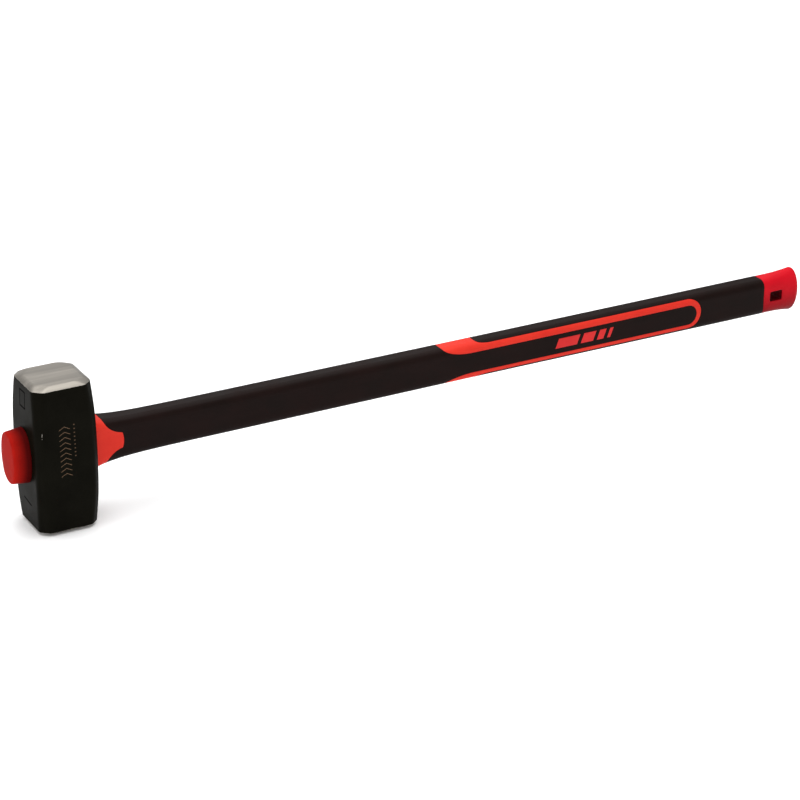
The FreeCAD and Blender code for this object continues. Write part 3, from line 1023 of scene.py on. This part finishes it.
def make_floor():
    """A wide pale floor under the lower striking face."""
    bm = bmesh.new()
    bmesh.ops.create_grid(bm, x_segments=8, y_segments=8, size=14.0)
    mesh = bpy.data.meshes.new("floor")
    bm.to_mesh(mesh)
    bm.free()
    floor = bpy.data.objects.new("floor", mesh)
    bpy.context.scene.collection.objects.link(floor)
    paint(floor, floor_material())


def add_softbox(name, place, target, size, power):
    """A rectangular light that faces its target. Power is in watts."""
    data = bpy.data.lights.new(name, "AREA")
    data.shape = "RECTANGLE"
    data.size, data.size_y = size
    data.energy = power
    light = bpy.data.objects.new(name, data)
    light.location = place
    light.rotation_euler = (Vector(target) - Vector(place)).to_track_quat("-Z", "Y").to_euler()
    bpy.context.scene.collection.objects.link(light)


def make_lights():
    """Large soft lights above, in front, to the left and behind, in a white studio."""
    middle = ((cad_low.x + cad_high.x) / 2, 0.0, AXIS_Z)
    add_softbox("overhead", (0.3, 0.2, 2.6), middle, (3.4, 2.6), 92.0)
    add_softbox("front_fill", (0.9, -2.6, 1.0), middle, (2.2, 1.4), 9.0)
    add_softbox("left_fill", (-2.4, -0.2, 1.0), (0.0, 0.0, AXIS_Z), (1.4, 1.4), 8.0)
    add_softbox("rear_strip", (0.6, 2.7, 1.75), (0.0, 0.0, 2 * AXIS_Z), (3.0, 1.3), 13.0)
    world = bpy.data.worlds.new("studio")
    world.use_nodes = True
    world.node_tree.nodes["Background"].inputs["Color"].default_value = (1.0, 1.0, 1.0, 1.0)
    world.node_tree.nodes["Background"].inputs["Strength"].default_value = 0.6
    bpy.context.scene.world = world
    bpy.context.scene.view_settings.view_transform = "Standard"


# how far the camera looks round and down, and how far it rolls, in degrees
CAMERA_ANGLES = (28.97, 24.09, -0.128)
CAMERA_PLACE = (-0.78928, -2.08806, 1.0373 + AXIS_Z)
CAMERA_LENS = 117.77
CAMERA_SENSOR = 36.0


def make_camera():
    """Looks down on the hammer from its front left, head nearest, with a long lens."""
    azimuth, elevation, roll = (math.radians(angle) for angle in CAMERA_ANGLES)
    forward = Vector((
        math.sin(azimuth) * math.cos(elevation),
        math.cos(azimuth) * math.cos(elevation),
        -math.sin(elevation),
    ))
    level = Vector((math.cos(azimuth), -math.sin(azimuth), 0.0))
    down = forward.cross(level)
    right = level * math.cos(roll) + down * math.sin(roll)
    down = down * math.cos(roll) - level * math.sin(roll)
    data = bpy.data.cameras.new("camera")
    data.sensor_width = CAMERA_SENSOR
    data.lens = CAMERA_LENS
    data.clip_end = 40.0
    camera = bpy.data.objects.new("camera", data)
    turn = Matrix((right, -down, -forward)).transposed().to_4x4()
    camera.matrix_world = Matrix.Translation(CAMERA_PLACE) @ turn
    bpy.context.scene.collection.objects.link(camera)
    bpy.context.scene.camera = camera


# ---- the hammer ----

dark = plastic("soft_overmould", colour(23, 11, 9), colour(17, 8, 6), 0.5, 0.02 * MM, 1900.0, specular=0.055)
red = plastic("moulded_red", colour(206, 49, 36), colour(198, 42, 32), 0.45, specular=0.07)
# the plug below carries painted shade towards the head
plug_red = plastic(
    "plug_red", colour(160, 25, 18), colour(147, 20, 15), 0.45, specular=0.008, painted_shade=plug_painted_shade
)
mark_red = plastic("mark_red", colour(200, 40, 40), colour(188, 34, 35), 0.45, specular=0.12)
# the cap below carries painted shade in its hanging hole and on its underside
crimson = plastic(
    "cap_crimson", colour(194, 17, 32), colour(180, 14, 28), 0.42, specular=0.045, painted_shade=cap_painted_shade
)

paint(make_head(), head_material())
paint(make_plug(), plug_red)
for piece in make_jacket():
    paint(piece, red)
paint(make_sleeve(), dark)
paint(make_grip(), dark)
paint(make_cap(), crimson)
for bars in make_grip_marks():
    paint(bars, mark_red)
paint(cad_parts["fibreglass_core"], core_material())
paint(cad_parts["eye_bond"], resin_material())

make_floor()
make_lights()
make_camera()
